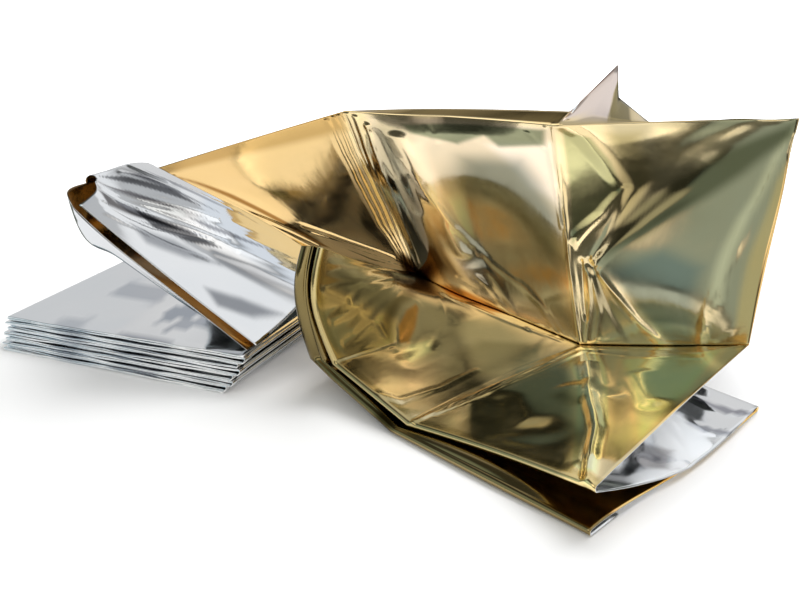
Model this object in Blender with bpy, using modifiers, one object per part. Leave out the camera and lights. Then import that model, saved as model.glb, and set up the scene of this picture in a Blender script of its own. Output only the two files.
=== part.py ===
"""Emergency foil blanket, half pulled out of its folded stack.

One sheet. Its panels are 13.1 cm long and 10 cm wide between the factory creases. Lines of
points run across the sheet and columns run along it. Every table is in centimetres, with the
floor at z = 0 and the camera side at -y.
"""

import bpy
import numpy as np

NAME = "foil_blanket"
CM = 0.01
FILM = 0.1
TURN_STEPS = 4
MOST_BULGE = 0.35

# The columns: how many panels each one lies from the sheet's right edge, whether it is a hard
# crease, and how many strips the sheet is cut into up to the next column.
COLUMNS = (
    ("right_edge", 0.0, True, 2),
    ("right_middle", 0.5, False, 4),
    ("front_crease", 1.0, True, 2),
    ("kink", 1.5, True, 2),
    ("pleat", 1.75, False, 2),
    ("hollow_crease", 2.0, True, 2),
    ("left_middle", 2.5, False, 2),
    ("strip_crease", 3.0, True, 1),
    ("strip_far", 3.3, False, 1),
    ("strip_middle", 3.6, False, 1),
    ("strip_bulge", 3.85, False, 1),
    ("left_edge", 4.0, True, 0),
)
FIRST_STRIP_COLUMN = 7
MOUTH_COLUMN = 9

# Each line: its name, what it is, and a point a column. A line is "smooth" where the sheet
# bends gently over it, "sharp" on a crease, and "turn" where a rounded fold leads on to the
# next line.

# The plies on the floor, from the hem tucked under them up to the scoop in front of the wall.
LOWER = (
    ("tuck", "sharp", ((10.0, -12.7, 0.05), (6.8, -8.8, 0.05), (3.2, -4.8, 0.05),
                       (-0.9, 0.2, 1.0), (-1.8, 0.0, 4.0), (-1.5, 0.1, 6.1))),
    ("near_low", "turn", ((8.8, -14.1, 0.05), (5.4, -10.4, 0.05), (1.7, -6.1, 0.05),
                          (-1.9, -1.0, 1.2), (-2.6, -1.6, 4.45), (-2.25, -1.5, 6.75))),
    ("near_high", "sharp", ((8.8, -14.1, 0.3), (5.5, -10.4, 0.38), (1.8, -6.3, 0.32),
                            (-1.6, -1.75, 1.5), (-2.15, -2.0, 4.55), (-1.85, -1.8, 6.85))),
    ("low_mid", "smooth", ((13.3, -9.3, 0.05), (10.0, -5.1, 0.05), (6.5, -1.4, 0.1),
                           (3.0, 1.4, 0.55), (1.3, 2.45, 2.35), (0.1, 3.2, 3.7))),
    ("far_low", "turn", ((17.6, -4.3, 0.05), (14.4, -0.5, 0.05), (11.1, 3.3, 0.05),
                         (7.5, 6.4, 0.2), (5.7, 7.7, 0.45), (3.9, 8.9, 0.7))),
    ("far_high", "sharp", ((17.6, -4.3, 0.3), (14.4, -0.5, 0.3), (11.1, 3.3, 0.3),
                           (7.5, 6.4, 0.45), (5.7, 7.7, 0.7), (3.9, 8.9, 0.95))),
    ("flap_mid", "smooth", ((13.2, -9.3, 0.75), (10.1, -5.0, 0.6), (6.6, -1.5, 0.42),
                            (3.1, 1.3, 0.95), (1.55, 2.25, 2.7), (0.45, 3.0, 4.05))),
    ("lip_low", "turn", ((8.9, -14.1, 1.8), (5.9, -9.8, 0.9), (2.35, -6.5, 0.52),
                         (-0.95, -2.7, 1.6), (-1.87, -2.3, 4.4), (-1.57, -1.93, 6.85))),
    ("lip_high", "sharp", ((8.85, -14.1, 2.05), (5.9, -9.8, 1.15), (2.4, -6.6, 0.76),
                           (-0.75, -2.8, 1.8), (-1.6, -2.45, 4.4), (-1.3, -2.1, 6.85))),
    ("scoop_mid", "smooth", ((13.0, -9.0, 2.7), (10.1, -5.1, 1.6), (6.6, -2.2, 0.85),
                             (3.1, 1.2, 1.4), (1.7, 1.95, 3.1), (0.7, 2.8, 4.4))),
)

# The leaning wall with the strip's lower ply beside it, from the valley up to the ridge.
WALL = (
    ("valley", "sharp", ((17.0, -4.0, 3.1), (14.3, -0.6, 1.6), (10.8, 1.9, 0.6),
                         (7.1, 4.95, 1.2), (5.0, 6.3, 1.6), (2.8, 7.65, 2.3),
                         (0.1, 8.2, 2.6), (-2.55, 8.8, 3.3), (-2.6, 5.2, 2.3),
                         (-3.7, 1.6, 2.0), (-4.6, -1.3, 1.95), (-4.9, -1.9, 1.95))),
    ("wall_low", "smooth", ((17.4, -3.1, 6.2), (13.55, 0.6, 5.2), (10.2, 2.9, 4.5),
                            (6.25, 5.8, 4.6), (3.45, 6.6, 4.45), (1.85, 8.0, 4.9),
                            (-1.95, 7.6, 4.9), (-5.1, 8.0, 5.0), (-5.9, 5.2, 4.1),
                            (-7.0, 2.2, 3.6), (-7.8, -0.3, 3.55), (-7.9, -0.7, 4.0))),
    ("wall_high", "smooth", ((17.8, -2.0, 9.3), (14.95, 1.8, 8.55), (9.85, 3.6, 7.75),
                             (5.15, 5.5, 8.4), (2.2, 6.2, 8.0), (0.25, 7.3, 8.3),
                             (-4.15, 7.3, 7.25), (-7.7, 7.2, 6.7), (-8.9, 5.3, 6.0),
                             (-10.3, 2.8, 5.4), (-11.1, 1.0, 5.4), (-11.2, 0.8, 6.1))),
    ("brow", "smooth", ((18.0, -1.4, 11.2), (14.85, 2.3, 10.45), (9.55, 3.8, 9.85),
                        (4.7, 5.5, 10.15), (2.0, 6.1, 10.0), (-0.4, 7.1, 10.15),
                        (-5.15, 7.2, 8.85), (-9.4, 6.6, 7.8), (-11.2, 5.2, 7.1),
                        (-12.7, 3.0, 6.5), (-12.9, 1.9, 6.2), (-12.9, 1.6, 7.4))),
    ("ridge", "sharp", ((18.1, -1.2, 12.35), (14.8, 2.4, 11.5), (9.4, 3.8, 11.0),
                        (4.5, 5.7, 11.05), (1.9, 6.2, 11.05), (-0.75, 7.1, 11.05),
                        (-5.55, 7.2, 9.6), (-10.2, 6.4, 8.3), (-11.3, 5.3, 8.3),
                        (-12.9, 3.3, 8.35), (-13.5, 2.2, 8.2), (-13.2, 1.75, 7.7))),
)

# Behind the ridge: a narrow shelf, then the back ply sloping down to the floor.
BACK = (
    ("shelf", "sharp", ((18.1, -0.2, 12.0), (15.0, 3.4, 11.15), (10.3, 6.3, 10.9),
                        (6.0, 7.7, 10.85), (3.0, 7.9, 10.8), (-0.4, 8.3, 10.75),
                        (-5.3, 8.6, 9.2), (-9.9, 7.0, 8.0))),
    ("back_mid", "smooth", ((18.0, 1.6, 6.6), (15.0, 5.2, 6.0), (11.6, 9.5, 6.6),
                            (6.4, 9.8, 6.1), (3.4, 10.0, 6.0), (0.1, 10.2, 6.3),
                            (-4.3, 11.0, 5.3), (-8.9, 11.2, 4.1))),
    ("back_foot", "sharp", ((18.0, 6.0, 0.2), (14.8, 9.9, 0.3), (11.0, 13.2, 0.1),
                            (6.7, 13.4, 0.5), (4.0, 14.0, 0.3), (0.9, 14.5, 0.1),
                            (-3.5, 15.2, 0.5), (-8.0, 15.2, 0.2))),
)

# The corner that stands up behind the ridge: its place on the shelf in strips from the right
# edge, and where that point goes.
PEAK = (
    ("foot", 3, (13.65, 3.6, 11.2)),
    ("shoulder", 4, (12.65, 6.2, 11.9)),
    ("tip", 5, (13.05, 8.8, 13.1)),
)

# The strip's loose upper ply, from its open mouth down to its free end on the stack.
STRIP = (
    ("mouth", "sharp", ((-10.3, 5.8, 8.65), (-11.2, 5.0, 8.8), (-12.4, 3.4, 8.55),
                        (-12.1, 1.9, 8.3), (-12.7, 1.2, 7.85))),
    ("upper", "smooth", ((-7.65, 5.2, 7.45), (-8.45, 3.8, 7.45), (-9.65, 2.35, 6.9),
                         (-9.9, 1.0, 6.35), (-10.2, 0.3, 6.05))),
    ("lower", "smooth", ((-5.2, 6.0, 5.85), (-5.55, 3.55, 5.3), (-6.55, 1.65, 4.85),
                         (-7.1, 0.1, 4.4), (-7.5, -0.7, 4.15))),
    ("end", "sharp", ((-3.1, 6.45, 4.3), (-2.25, 3.65, 3.2), (-3.05, 1.1, 2.65),
                      (-4.1, -1.0, 2.25), (-4.5, -1.7, 2.1))),
)
ROWS_PER_LINE = 2

# The middle of the stack's lowest and highest layer, corner by corner: left near, right near,
# right far, left far.
STACK = (
    ("lowest", (-17.5, 2.7, 0.05), (-6.0, -2.3, 0.05), (-1.8, 6.8, 0.05), (-13.7, 12.0, 0.05)),
    ("highest", (-17.5, 3.6, 1.42), (-5.0, -2.1, 1.75), (-1.5, 7.0, 1.4), (-13.6, 12.5, 1.42)),
)
STACK_SPANS = 4

# How far each layer of the stack reaches past its place, from the lowest up: at its left end,
# at its right end and at its near edge.
LAYERS = (
    (0.05, 0.00, 0.00), (0.05, -0.10, 0.06), (0.20, -0.10, -0.05), (0.20, 0.08, 0.04),
    (0.00, 0.08, -0.04), (0.00, -0.12, 0.05), (0.15, -0.12, 0.00), (0.15, 0.10, -0.06),
    (0.05, 0.10, 0.05), (0.05, 0.00, 0.00),
)


def bend(places, knots, sharp, counts):
    """A smooth run through places, which are points or whole lines, broken where sharp."""
    places = np.array(places, float)
    last = len(places) - 1

    def slope(i):
        return (places[i + 1] - places[i]) / (knots[i + 1] - knots[i])

    out = [places[0]]
    for i in range(last):
        gap = knots[i + 1] - knots[i]
        start = None if sharp[i] or i == 0 else (slope(i - 1) + slope(i)) / 2
        stop = None if sharp[i + 1] or i + 1 == last else (slope(i) + slope(i + 1)) / 2
        if start is None:
            start = slope(i) if stop is None else 1.5 * slope(i) - 0.5 * stop
        if stop is None:
            stop = 1.5 * slope(i) - 0.5 * start
        for t in np.arange(1, counts[i] + 1) / counts[i]:
            out.append(
                (2 * t**3 - 3 * t**2 + 1) * places[i]
                + (t**3 - 2 * t**2 + t) * gap * start
                + (3 * t**2 - 2 * t**3) * places[i + 1]
                + (t**3 - t**2) * gap * stop
            )
    return np.array(out)


def across(points, first=0):
    """A line of the table, given from one column on, as all of its points across the sheet."""
    used = COLUMNS[first:first + len(points)]
    return bend(
        points,
        [place for _, place, _, _ in used],
        [sharp for _, _, sharp, _ in used],
        [strips for _, _, _, strips in used],
    )


def turn(low, high, inside):
    """The rows of a rounded fold between two lines, which bulges away from the line inside."""
    middle, arm = (low + high) / 2, (high - low) / 2
    reach = middle - inside
    reach -= arm * (np.sum(reach * arm, 1) / np.sum(arm * arm, 1))[:, None]
    bulge = np.minimum(np.linalg.norm(arm, axis=1), MOST_BULGE)
    reach *= (bulge / np.linalg.norm(reach, axis=1))[:, None]
    angles = np.pi * (np.arange(1, TURN_STEPS) / TURN_STEPS - 0.5)
    return [middle + reach * np.cos(angle) + arm * np.sin(angle) for angle in angles]


def grow(lines, kinds):
    """All rows through some lines of one width, with a rounded fold after each turn."""
    rows, start = [], 0
    for i, kind in enumerate(kinds):
        if kind == "turn" or i + 1 == len(lines):
            run = lines[start:i + 1]
            sharp = [k != "smooth" for k in kinds[start:i + 1]]
            rows.extend(bend(run, range(len(run)), sharp, [ROWS_PER_LINE] * len(run)))
            start = i + 1
        if kind == "turn":
            inside = (lines[i - 1] + lines[i + 2]) / 2
            rows.extend(turn(lines[i], lines[i + 1], inside))
    return rows


def stack_line(layer, along):
    """A line across one layer of the stack, from its far edge to its near edge."""
    level = layer / (len(LAYERS) - 1)
    left_near, right_near, right_far, left_far = (
        np.array(low) + (np.array(high) - np.array(low)) * level
        for low, high in zip(STACK[0][1:], STACK[1][1:])
    )
    left_out, right_out, near_out = LAYERS[layer]
    length = (right_near - left_near) / np.linalg.norm(right_near - left_near)
    width = (left_near - left_far) / np.linalg.norm(left_near - left_far)
    shift = length * (right_out * along - left_out * (1 - along))
    near = left_near + (right_near - left_near) * along + shift + width * near_out
    far = left_far + (right_far - left_far) * along + shift
    shares = [place - 3 for _, place, _, _ in COLUMNS[FIRST_STRIP_COLUMN:]]
    return across([far + (near - far) * share for share in shares], FIRST_STRIP_COLUMN)


def stack_rows():
    """The rows of the stack, back and forth from its highest layer's right end to the lowest."""
    rows = []
    ends = (1, 0)
    for layer in reversed(range(len(LAYERS))):
        lines = [stack_line(layer, t) for t in np.linspace(*ends, STACK_SPANS + 1)]
        rows.extend(lines)
        if layer:
            rows.extend(turn(lines[-1], stack_line(layer - 1, ends[1]), lines[-2]))
        ends = ends[::-1]
    return rows


class Sheet:
    """The points and faces of the sheet, collected row by row."""

    def __init__(self):
        self.points = []
        self.faces = []

    def add(self, rows, start=None, turned=False):
        """Adds rows, joins each to the one before and returns their point numbers."""
        made = []
        for row in rows:
            first = len(self.points)
            self.points.extend(row)
            made.append(list(range(first, first + len(row))))
            if start is not None:
                self.join(start, made[-1], turned)
            start = made[-1]
        return made

    def join(self, one, two, turned=False):
        for i in range(min(len(one), len(two)) - 1):
            corners = (one[i], one[i + 1], two[i + 1], two[i])
            self.faces.append(corners[::-1] if turned else corners)


def strips_up_to(column):
    return sum(strips for _, _, _, strips in COLUMNS[:column])


def build_sheet():
    """The whole sheet, as the open surface halfway through its thickness."""
    lower = [across(points) for _, _, points in LOWER]
    wall = [across(points) for _, _, points in WALL]
    back = [across(points) for _, _, points in BACK]
    strip = [across(points, FIRST_STRIP_COLUMN) for _, _, points in STRIP]
    for _, strips, point in PEAK:
        back[0][strips] = point
    low_width, back_width = len(lower[0]), len(back[0])
    kinds = {
        "lower": [kind for _, kind, _ in LOWER] + ["sharp"],
        "wall": [kind for _, kind, _ in WALL],
        "back": ["sharp"] + [kind for _, kind, _ in BACK],
        "strip": [kind for _, kind, _ in STRIP],
    }

    sheet = Sheet()
    wall_rows = sheet.add(grow(wall, kinds["wall"]))
    valley, ridge = wall_rows[0], wall_rows[-1]
    rows = grow(lower + [wall[0][:low_width]], kinds["lower"])
    sheet.add(rows[-2::-1], valley[:low_width], turned=True)
    rows = grow([wall[-1][:back_width]] + back, kinds["back"])
    sheet.add(rows[1:], ridge[:back_width])

    beside = strips_up_to(FIRST_STRIP_COLUMN)
    closed = strips_up_to(MOUTH_COLUMN) + 1 - beside
    fold = turn(wall[-1][beside:], strip[0], (wall[-3][beside:] + strip[1]) / 2)
    fold_rows = sheet.add([row[:closed] for row in fold], ridge[beside:])
    strip_rows = sheet.add(grow(strip, kinds["strip"]))
    sheet.join(fold_rows[-1], strip_rows[0])

    stack = stack_rows()
    fold = turn(wall[0][beside:], stack[0], stack[1])
    sheet.add(fold + stack, valley[beside:], turned=True)
    return sheet


def foil_material():
    material = bpy.data.materials.new("gold_and_silver_film")
    material.use_nodes = True
    shader = material.node_tree.nodes["Principled BSDF"]
    shader.inputs["Base Color"].default_value = (0.80, 0.66, 0.36, 1)
    shader.inputs["Metallic"].default_value = 1
    shader.inputs["Roughness"].default_value = 0.2
    return material


def main():
    for old in list(bpy.data.objects):
        bpy.data.objects.remove(old, do_unlink=True)
    parts = bpy.data.collections.new("emergency_foil_blanket")
    bpy.context.scene.collection.children.link(parts)

    sheet = build_sheet()
    points = np.array(sheet.points)
    centre = (points.min(0) + points.max(0)) / 2
    points -= (centre[0], centre[1], 0)
    points[:, 2] = np.maximum(points[:, 2], FILM / 2)
    mesh = bpy.data.meshes.new(NAME)
    mesh.from_pydata((points * CM).tolist(), [], sheet.faces)
    mesh.materials.append(foil_material())
    blanket = bpy.data.objects.new(NAME, mesh)
    parts.objects.link(blanket)

    film = blanket.modifiers.new("film", "SOLIDIFY")
    film.thickness = FILM * CM
    film.offset = 0
    film.use_rim = True


main()
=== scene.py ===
"""Looks of the emergency foil blanket: one sheet of film, gold on one side, silver on the other.

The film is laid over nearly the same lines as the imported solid, cut finer, and then gets its
pleats, dimples and wrinkles from short tables. Tables are in centimetres, with the floor at z = 0.
"""

import math

import bpy
import numpy as np
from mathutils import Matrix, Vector


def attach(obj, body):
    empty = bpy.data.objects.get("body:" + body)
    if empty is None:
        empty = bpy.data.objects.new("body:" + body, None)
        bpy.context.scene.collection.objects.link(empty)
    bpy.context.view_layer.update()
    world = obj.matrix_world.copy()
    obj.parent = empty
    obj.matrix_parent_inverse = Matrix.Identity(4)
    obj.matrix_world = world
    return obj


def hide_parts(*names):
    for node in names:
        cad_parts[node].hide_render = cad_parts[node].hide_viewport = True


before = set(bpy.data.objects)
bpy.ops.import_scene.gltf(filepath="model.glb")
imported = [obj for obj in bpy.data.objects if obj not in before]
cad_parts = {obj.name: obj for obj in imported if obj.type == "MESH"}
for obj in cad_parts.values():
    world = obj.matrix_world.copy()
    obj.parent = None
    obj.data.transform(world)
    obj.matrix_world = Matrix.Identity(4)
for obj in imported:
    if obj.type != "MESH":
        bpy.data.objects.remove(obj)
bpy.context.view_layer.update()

CM = 0.01
TINY = 1e-9

# A panel between two fold creases, the film as it is drawn, and the most that a rounded fold
# bulges, in centimetres.
PANEL_LONG = 13.1
PANEL_WIDE = 10.0
FILM = 0.02
MOST_BULGE = 0.35

# How far the tables' zero lies from the frame's, in centimetres.
TABLE_SHIFT = (-0.175, -0.537, 0.0)

# The rows round a folded turn, and those between the ridge and the shelf.
TURN_STEPS = 8
SHELF_ROWS = 6

# The columns: how many panels each lies from the sheet's right edge, the strips up to the next
# one, and how much closer they lie at their start (or, below 0, at their end).
COLUMNS = (
    ("right_edge", 0.0, 30, 0.0),
    ("right_middle", 0.5, 42, -0.4),
    ("front_crease", 1.0, 36, 0.3),
    ("kink", 1.5, 20, 0.0),
    ("pleat", 1.75, 34, -0.5),
    ("hollow_crease", 2.0, 44, 0.6),
    ("left_middle", 2.5, 28, 0.0),
    ("strip_crease", 3.0, 22, 0.0),
    ("strip_far", 3.3, 22, 0.0),
    ("strip_middle", 3.6, 18, 0.0),
    ("strip_bulge", 3.85, 10, 0.0),
    ("left_edge", 4.0, 0, 0.0),
)
FIRST_STRIP_COLUMN = 7
MOUTH_COLUMN = 9

# Each line: its name, its kind, its place along the sheet in panels from the lip, the rows up to
# the next line, the columns where it has a hard crease, and a point a column.
CREASED = ("front_crease", "hollow_crease", "strip_crease")
KINKED = CREASED + ("kink",)
LOWER = (
    ("tuck", "sharp", -2.25, 3, KINKED,
     ((10.0, -12.7, 0.05), (6.8, -8.8, 0.05), (3.2, -4.8, 0.05),
      (-0.9, 0.2, 1.0), (-1.8, 0.0, 4.0), (-1.5, 0.1, 6.1))),
    ("near_low", "turn", -2.03, 0, KINKED,
     ((8.8, -14.1, 0.05), (5.4, -10.4, 0.05), (1.7, -6.1, 0.05),
      (-1.9, -1.0, 1.2), (-2.6, -1.6, 4.45), (-2.25, -1.5, 6.75))),
    ("near_high", "sharp", -1.97, 12, KINKED,
     ((8.8, -14.1, 0.3), (5.5, -10.4, 0.38), (1.8, -6.3, 0.32),
      (-1.6, -1.75, 1.5), (-2.15, -2.0, 4.55), (-1.85, -1.8, 6.85))),
    ("near_swell", "smooth", -1.87, 12, KINKED,
     ((9.6, -13.2, 0.32), (5.9, -9.95, 0.6), (2.2, -5.9, 0.38),
      (-1.25, -2.15, 1.52), (-1.95, -2.05, 4.47), (-1.66, -1.75, 6.8))),
    ("low_mid", "smooth", -1.5, 6, CREASED,
     ((13.3, -9.3, 0.05), (10.0, -5.1, 0.05), (6.5, -1.4, 0.1),
      (3.0, 1.4, 0.55), (1.3, 2.45, 2.35), (0.1, 3.2, 3.7))),
    ("far_low", "turn", -1.03, 0, CREASED,
     ((17.6, -4.3, 0.05), (14.4, -0.5, 0.05), (11.1, 3.3, 0.05),
      (7.5, 6.4, 0.2), (5.7, 7.7, 0.45), (3.9, 8.9, 0.7))),
    ("far_high", "sharp", -0.97, 22, CREASED,
     ((17.6, -4.3, 0.3), (14.4, -0.5, 0.3), (11.1, 3.3, 0.3),
      (7.5, 6.4, 0.45), (5.7, 7.7, 0.7), (3.9, 8.9, 0.95))),
    ("flap_mid", "smooth", -0.5, 14, CREASED,
     ((13.35, -9.6, 0.28), (10.1, -5.0, 0.6), (6.6, -1.5, 0.42),
      (3.1, 1.3, 0.95), (1.55, 2.25, 2.7), (0.45, 3.0, 4.05))),
    ("flap_near", "smooth", -0.22, 10, CREASED,
     ((10.9, -11.8, 0.75), (7.7, -7.7, 0.75), (4.2, -4.3, 0.45),
      (0.8, -0.9, 1.2), (-0.35, -0.3, 3.6), (-0.7, 0.25, 5.6))),
    ("lip_low", "turn", -0.03, 0, KINKED,
     ((8.9, -14.1, 1.8), (5.9, -9.8, 0.9), (2.35, -6.5, 0.52),
      (-0.95, -2.7, 1.6), (-1.87, -2.3, 4.4), (-1.57, -1.93, 6.85))),
    ("lip_high", "sharp", 0.03, 48, KINKED,
     ((8.85, -14.1, 2.05), (5.9, -9.8, 1.15), (2.4, -6.6, 0.76),
      (-0.75, -2.8, 1.8), (-1.6, -2.45, 4.4), (-1.3, -2.1, 6.85))),
    ("scoop_mid", "smooth", 0.5, 48, CREASED,
     ((13.0, -9.0, 2.7), (10.1, -5.1, 1.6), (6.6, -2.2, 0.85),
      (3.1, 1.2, 1.4), (1.7, 1.95, 3.1), (0.7, 2.8, 4.4))),
)

WALL = (
    ("valley", "sharp", 1.0, 30, CREASED,
     ((17.0, -4.0, 3.1), (14.3, -0.6, 1.6), (10.8, 1.9, 0.6),
      (7.1, 4.95, 1.2), (5.0, 6.3, 1.6), (2.8, 7.65, 2.3),
      (0.1, 8.2, 2.6), (-2.45, 7.6, 3.7), (-2.6, 5.2, 2.3),
      (-3.7, 1.6, 2.0), (-4.6, -1.3, 1.95), (-4.9, -1.9, 1.95))),
    ("wall_low", "smooth", 1.3, 30, CREASED,
     ((17.6, -3.1, 6.15), (13.55, 0.6, 5.2), (10.2, 2.9, 4.5),
      (6.25, 5.8, 4.6), (3.45, 6.6, 4.45), (1.85, 8.0, 4.9),
      (-1.95, 7.6, 4.9), (-4.95, 6.7, 5.4), (-5.9, 5.2, 4.1),
      (-7.0, 2.2, 3.6), (-7.8, -0.3, 3.55), (-7.9, -0.7, 4.0))),
    ("wall_high", "smooth", 1.62, 22, CREASED,
     ((18.35, -2.0, 9.3), (14.95, 1.8, 8.55), (9.85, 3.6, 7.75),
      (5.15, 5.5, 8.4), (2.2, 6.2, 8.0), (0.25, 7.3, 8.3),
      (-4.15, 7.3, 7.25), (-7.55, 6.3, 6.95), (-8.9, 5.3, 6.0),
      (-10.3, 2.8, 5.4), (-11.1, 1.0, 5.4), (-11.2, 0.8, 6.1))),
    ("brow", "smooth", 1.85, 18, CREASED,
     ((18.7, -1.4, 11.2), (14.85, 2.3, 10.45), (9.55, 3.8, 9.85),
      (4.7, 5.5, 10.15), (2.0, 6.1, 10.0), (-0.4, 7.1, 10.15),
      (-5.15, 7.2, 8.85), (-9.35, 6.3, 7.9), (-11.2, 5.2, 7.1),
      (-12.7, 3.0, 6.5), (-12.9, 1.9, 6.2), (-12.9, 1.6, 7.4))),
    ("ridge", "sharp", 2.0, 0, CREASED,
     ((18.95, -1.2, 12.35), (14.8, 2.4, 11.5), (9.4, 3.8, 11.0),
      (4.5, 5.7, 11.05), (1.9, 6.2, 11.05), (-0.75, 7.1, 11.05),
      (-5.55, 7.2, 9.6), (-10.2, 6.4, 8.3), (-11.3, 5.3, 8.3),
      (-12.9, 3.3, 8.35), (-13.5, 2.2, 8.2), (-13.2, 1.75, 7.7))),
)

BACK = (
    ("shelf", "sharp", 2.1, 12, CREASED,
     ((18.9, -0.6, 11.8), (14.95, 3.0, 11.2), (10.05, 4.1, 11.6),
      (5.65, 6.0, 11.35), (2.6, 6.55, 11.25), (-0.65, 7.4, 11.0),
      (-5.4, 7.8, 9.35), (-9.9, 7.0, 8.0))),
    ("back_mid", "smooth", 2.6, 12, CREASED,
     ((18.0, 1.6, 6.6), (15.0, 5.2, 6.0), (11.6, 9.5, 6.6),
      (6.4, 9.8, 6.1), (3.4, 10.0, 6.0), (0.1, 10.2, 6.3),
      (-4.3, 11.0, 5.3), (-8.9, 11.2, 4.1))),
    ("back_foot", "sharp", 3.0, 0, CREASED,
     ((18.0, 6.0, 0.2), (14.8, 9.9, 0.3), (11.0, 13.2, 0.1),
      (6.7, 13.4, 0.5), (4.0, 14.0, 0.3), (0.9, 14.5, 0.1),
      (-3.5, 15.2, 0.5), (-8.0, 15.2, 0.2))),
)

# The corner that stands up behind the ridge: places on the shelf in panels from the right
# edge, and where those points go.
PEAK = (
    ("right", 0.5, (14.9, 3.0, 11.2)),
    ("foot", 0.625, (13.65, 3.6, 11.2)),
    ("shoulder", 0.75, (12.65, 6.2, 11.9)),
    ("tip", 0.875, (13.05, 8.8, 13.1)),
    ("left", 1.0, (10.05, 4.1, 11.65)),
)

STRIP = (
    ("mouth", "sharp", 2.06, 28, (),
     ((-10.3, 5.8, 8.65), (-11.2, 5.0, 8.8), (-12.4, 3.4, 8.55),
      (-12.1, 1.9, 8.3), (-12.7, 1.2, 7.85))),
    ("upper", "smooth", 2.37, 28, (),
     ((-7.45, 4.2, 7.7), (-8.3, 3.1, 7.65), (-9.65, 2.35, 6.9),
      (-9.9, 1.0, 6.35), (-10.2, 0.3, 6.05))),
    ("lower", "smooth", 2.7, 26, (),
     ((-5.05, 4.9, 6.15), (-5.45, 2.8, 5.55), (-6.55, 1.65, 4.85),
      (-7.1, 0.1, 4.4), (-7.5, -0.7, 4.15))),
    ("end", "sharp", 3.0, 0, (),
     ((-3.0, 5.3, 4.65), (-2.2, 2.8, 3.5), (-3.05, 1.1, 2.65),
      (-4.1, -1.0, 2.25), (-4.5, -1.7, 2.1))),
)

# The middle of the stack's lowest and highest layer, corner by corner: left near, right near,
# right far, left far.
STACK = (
    ("lowest", (-17.5, 2.7, 0.05), (-6.0, -2.3, 0.05), (-1.8, 6.8, 0.05), (-13.7, 12.0, 0.05)),
    ("highest", (-17.5, 3.6, 1.42), (-5.0, -2.1, 1.75), (-1.5, 7.0, 1.4), (-13.6, 12.5, 1.42)),
)

# The spans along a layer and the strips across it, and its place across the sheet in panels.
STACK_SPANS = 40
STACK_STRIPS = 14
STACK_ACROSS = (3, 4.1)

# Each layer of the stack, from the lowest up: its height as a share, how far it reaches past its
# place at its left end, at its right end and at its near edge, and how wide that edge's roll is.
LAYERS = (
    (0.00, 0.05, 0.00, 0.00, 0.9), (0.06, 0.05, -0.10, 0.09, 1.0), (0.155, 0.20, -0.10, -0.07, 1.1),
    (0.21, 0.20, 0.08, 0.05, 0.7), (0.31, 0.00, 0.08, -0.05, 1.1), (0.37, 0.00, -0.12, 0.07, 0.8),
    (0.47, 0.15, -0.12, -0.03, 1.0), (0.53, 0.15, 0.10, 0.06, 0.7), (0.63, -0.05, 0.10, -0.05, 1.1),
    (0.69, -0.05, -0.15, 0.04, 0.8), (0.79, 0.10, -0.15, -0.05, 1.1), (0.85, 0.10, 0.00, 0.06, 0.8),
    (0.94, 0.05, 0.00, -0.04, 0.9), (1.00, 0.05, 0.00, 0.00, 0.9),
)

# The near edge of a layer rolls down: its radius at a width of 1, and how far it runs back below.
ROLL_RADIUS = 0.042
ROLL_STEPS = 7
ROLL_BACK = 0.6

# That edge also wavers outward and dips, in two waves each: how fast a wave runs along the edge,
# how far it moves on with each layer, and its height. The highest layer may dip by MOST_DIP, a
# lower one by less and the lowest not at all.
WAVER = ((9, 2.3, 0.03), (23, 4.1, 0.015))
DIP = ((11, 1.7, 0.018), (31, 1, 0.008))
MOST_DIP = 0.4

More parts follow.
